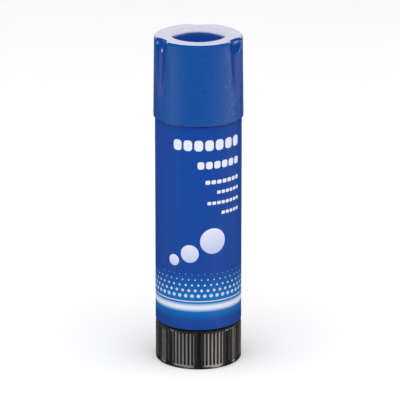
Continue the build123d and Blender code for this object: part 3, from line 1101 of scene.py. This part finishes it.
class GLUESTICK_OT_glue(bpy.types.Operator):
    """Give the CAD glue column its waxy mass"""

    bl_idname = "gluestick.glue"
    bl_label = "Glue"

    def execute(self, context):
        dress("glue", self.material(context))
        return {"FINISHED"}

    def material(self, context):
        """Soap gel with resin, poured hot and left to set: milky, soft at the edges, faintly pitted.

        Clouds of 5 mm give the milky depth, and pits of 0.8 mm break the light on the surface.
        """
        material, tree, place = new_material("glue_soap_gel")
        cloud = add_node(
            tree, "ShaderNodeTexNoise", {"Vector": place, "Scale": 1 / (5.0 * MM), "Detail": 3.0}
        )
        pits = add_node(tree, "ShaderNodeTexNoise", {"Vector": place, "Scale": 1 / (0.8 * MM)})
        rough = add_node(tree, "ShaderNodeMapRange", [pits, *NOISE_RANGE, 0.38, 0.55])
        bump = add_node(
            tree, "ShaderNodeBump", {"Strength": 0.3, "Distance": 0.05 * MM, "Height": pits}
        )
        pale = list(context.scene.gluestick_colours.glue)
        milky = [0.96 * pale[0], 0.96 * pale[1], 0.93 * pale[2], 1.0]
        colour = add_node(tree, "ShaderNodeMix", [cloud, milky, pale], data_type="RGBA")
        surface = add_node(
            tree,
            "ShaderNodeBsdfPrincipled",
            {
                "Base Color": colour,
                "Roughness": rough,
                "IOR": 1.46,
                "Subsurface Weight": 0.6,
                "Subsurface Radius": (1.0, 0.92, 0.75),
                "Subsurface Scale": 2.5 * MM,
                "Normal": bump,
            },
        )
        add_node(tree, "ShaderNodeOutputMaterial", {"Surface": surface})
        return material


class GLUESTICK_OT_stage(bpy.types.Operator):
    """Set up the pale floor, the softbox and cards, the plain white room and the camera"""

    bl_idname = "gluestick.stage"
    bl_label = "Studio"

    def execute(self, context):
        studio = context.scene.gluestick_studio
        self.floor(context)
        self.world(context, studio.room_level)
        self.softbox(studio.top_level)
        self.cards(studio)
        self.camera(context, studio)
        context.scene.view_settings.view_transform = "Standard"
        return {"FINISHED"}

    def floor(self, context):
        """A large plain floor of matt paper, pale and nearly white, with clouds of 40 mm."""
        side = 3.0
        corners = [(-side, -side, 0), (side, -side, 0), (side, side, 0), (-side, side, 0)]
        mesh = bpy.data.meshes.new("floor")
        mesh.from_pydata(corners, [], [(0, 1, 2, 3)])
        material, tree, place = new_material("floor_paper")
        cloud = add_node(tree, "ShaderNodeTexNoise", {"Vector": place, "Scale": 1 / (40.0 * MM)})
        shades = [linear("f9f9f9"), linear("fbfbfb")]
        colour = add_node(tree, "ShaderNodeMix", [cloud, *shades], data_type="RGBA")
        surface = add_node(
            tree,
            "ShaderNodeBsdfPrincipled",
            {"Base Color": colour, "Roughness": 0.9, "Specular IOR Level": 0.0},
        )
        add_node(tree, "ShaderNodeOutputMaterial", {"Surface": surface})
        mesh.materials.append(material)
        floor = bpy.data.objects.new("floor", mesh)
        context.scene.collection.objects.link(floor)
        floor.visible_glossy = False
        floor.visible_shadow = False

    def world(self, context, level):
        """An even dim room that the camera sees as plain white."""
        world = bpy.data.worlds.new("studio")
        context.scene.world = world
        world.use_nodes = True
        tree = world.node_tree
        tree.nodes.clear()
        seen = add_node(tree, "ShaderNodeLightPath").outputs["Is Camera Ray"]
        room = add_node(tree, "ShaderNodeBackground", [(1, 1, 1, 1), level])
        white = add_node(tree, "ShaderNodeBackground", [(1, 1, 1, 1), 1.0])
        mixed = add_node(tree, "ShaderNodeMixShader", [seen, room, white])
        add_node(tree, "ShaderNodeOutputWorld", {"Surface": mixed})

    def softbox(self, radiance):
        """A large softbox above and in front, which gives the object and the floor their light.

        It is kept out of the reflections, which the cards round the object fill instead.
        """
        size, place, tilt = (3.4, 3.0), (0.0, -0.45, 1.25), 20
        lamp = self.panel("top_softbox", size, radiance, (1, 1, 1))
        lamp.location = place
        lamp.rotation_euler = (math.radians(tilt), 0, 0)
        lamp.visible_glossy = False

    def cards(self, studio):
        """Upright cards round the object that show in its glossy surfaces only.

        A row holds a name, the distance from the axis, the angles to the right of the front between
        which the card stands, its lowest and highest point in metres, its radiance and its colour.
        They reach below the floor's level, because upright walls seen from above mirror what is
        lower than they are. Those that the knob mirrors stand near, so that the cap hardly does.
        """
        right, left, back = studio.right_level, studio.left_level, studio.back_level
        side = studio.side_level
        rows = (
            ("right_card", 0.2, 14, 68, -0.082, -0.048, right, (1.0, 0.94, 0.84)),
            ("right_low_card", 0.2, 39, 65, -0.16, -0.095, right * 2.0, (1.0, 0.97, 0.94)),
            ("left_card", 0.2, -68, -12, -0.082, -0.048, left, (1.0, 0.95, 0.95)),
            ("left_low_card", 0.2, -41, -12, -0.16, -0.095, left * 1.3, (1.0, 0.93, 0.95)),
            ("right_edge_card", 0.2, 103, 112, -0.082, -0.048, right * 0.6, (1.0, 0.95, 0.88)),
            ("left_edge_card", 0.2, -112, -98, -0.082, -0.048, left * 0.6, (0.97, 0.98, 1.0)),
            ("right_high_card", 0.55, 42, 86, -0.12, -0.04, side, (1.0, 0.8, 0.95)),
            ("left_high_card", 0.55, -84, -46, -0.12, -0.04, side, (0.7, 0.95, 1.0)),
            ("right_flute_card", 0.55, 113, 121, -0.12, 0.03, side * 0.3, (1.0, 0.5, 1.0)),
            ("left_flute_card", 0.55, -121, -113, -0.12, 0.03, side * 0.3, (1.0, 0.6, 1.0)),
            ("back_card", 0.55, 143, 217, 0.22, 0.34, back, (1.0, 0.95, 0.88)),
            ("back_middle_card", 0.55, 143, 217, 0.12, 0.22, back * 0.6, (1.0, 0.95, 0.88)),
            ("back_low_card", 0.55, 160, 200, -0.1, 0.12, back * 0.3, (1.0, 0.95, 0.88)),
            ("right_scoop_card", 0.55, 74, 108, -0.03, 0.02, back * 4.0, (1.0, 1.0, 1.05)),
            ("left_scoop_card", 0.55, -74, -62, 0.01, 0.08, back * 5.1, (1.0, 1.0, 1.0)),
            ("left_arc_card", 0.55, -122, -104, 0.14, 0.25, back * 2.5, (1.0, 1.0, 1.0)),
        )
        for name, reach, first, last, low, high, radiance, colour in rows:
            width = 2 * reach * math.tan(math.radians((last - first) / 2))
            turn = math.radians((first + last) / 2)
            lamp = self.panel(name, (width, high - low), radiance, colour)
            lamp.location = (reach * math.sin(turn), -reach * math.cos(turn), (low + high) / 2)
            lamp.rotation_euler = (math.pi / 2, 0, turn)
            lamp.visible_diffuse = False

    def panel(self, name, size, radiance, colour):
        """A rectangular light of even radiance that the camera doesn't see.

        Its power is four times its radiance and its area.
        """
        light = bpy.data.lights.new(name, "AREA")
        light.shape = "RECTANGLE"
        light.size, light.size_y = size
        light.energy = radiance * 4 * size[0] * size[1]
        light.color = colour
        lamp = bpy.data.objects.new(name, light)
        bpy.context.scene.collection.objects.link(lamp)
        lamp.visible_camera = False
        return lamp

    def camera(self, context, studio):
        """The photograph's view: from the front, a little above, through a long lens."""
        aim_x, aim_z = 0.47 * MM, 48.52 * MM
        distance, down = studio.camera_distance, studio.camera_elevation
        data = bpy.data.cameras.new("camera")
        data.lens = studio.lens
        data.sensor_width = 36.0
        camera = bpy.data.objects.new("camera", data)
        context.scene.collection.objects.link(camera)
        camera.location = (aim_x, -distance * math.cos(down), aim_z + distance * math.sin(down))
        camera.rotation_euler = (math.pi / 2 - down, 0, 0)
        context.scene.camera = camera


STEPS = (
    GLUESTICK_OT_cap,
    GLUESTICK_OT_barrel,
    GLUESTICK_OT_label,
    GLUESTICK_OT_knob,
    GLUESTICK_OT_screw,
    GLUESTICK_OT_carrier,
    GLUESTICK_OT_glue,
    GLUESTICK_OT_stage,
)


class GLUESTICK_PT_panel(bpy.types.Panel):
    """Lists the glue stick's steps, colours and sizes"""

    bl_idname = "GLUESTICK_PT_panel"
    bl_label = "Glue stick"
    bl_space_type = "VIEW_3D"
    bl_region_type = "UI"
    bl_category = "Glue stick"

    def draw(self, context):
        scene = context.scene
        for step in STEPS:
            self.layout.operator(step.bl_idname)
        for group in (scene.gluestick_colours, scene.gluestick_sizes, scene.gluestick_studio):
            box = self.layout.box()
            for name in group.__annotations__:
                box.prop(group, name)


GROUPS = (GlueStickColours, GlueStickSizes, GlueStickStudio)
CLASSES = GROUPS + STEPS + (GLUESTICK_PT_panel,)


def register():
    """Registers the classes and hangs the settings on the scene."""
    for cls in CLASSES:
        bpy.utils.register_class(cls)
    bpy.types.Scene.gluestick_colours = bpy.props.PointerProperty(type=GlueStickColours)
    bpy.types.Scene.gluestick_sizes = bpy.props.PointerProperty(type=GlueStickSizes)
    bpy.types.Scene.gluestick_studio = bpy.props.PointerProperty(type=GlueStickStudio)


def unregister():
    """Takes the settings off the scene and the classes out again."""
    del bpy.types.Scene.gluestick_studio
    del bpy.types.Scene.gluestick_sizes
    del bpy.types.Scene.gluestick_colours
    for cls in reversed(CLASSES):
        bpy.utils.unregister_class(cls)


def main():
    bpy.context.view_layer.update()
    register()
    bpy.ops.gluestick.cap()
    bpy.ops.gluestick.barrel()
    bpy.ops.gluestick.label()
    bpy.ops.gluestick.knob()
    bpy.ops.gluestick.screw()
    bpy.ops.gluestick.carrier()
    bpy.ops.gluestick.glue()
    bpy.ops.gluestick.stage()


if __name__ == "__main__":
    main()
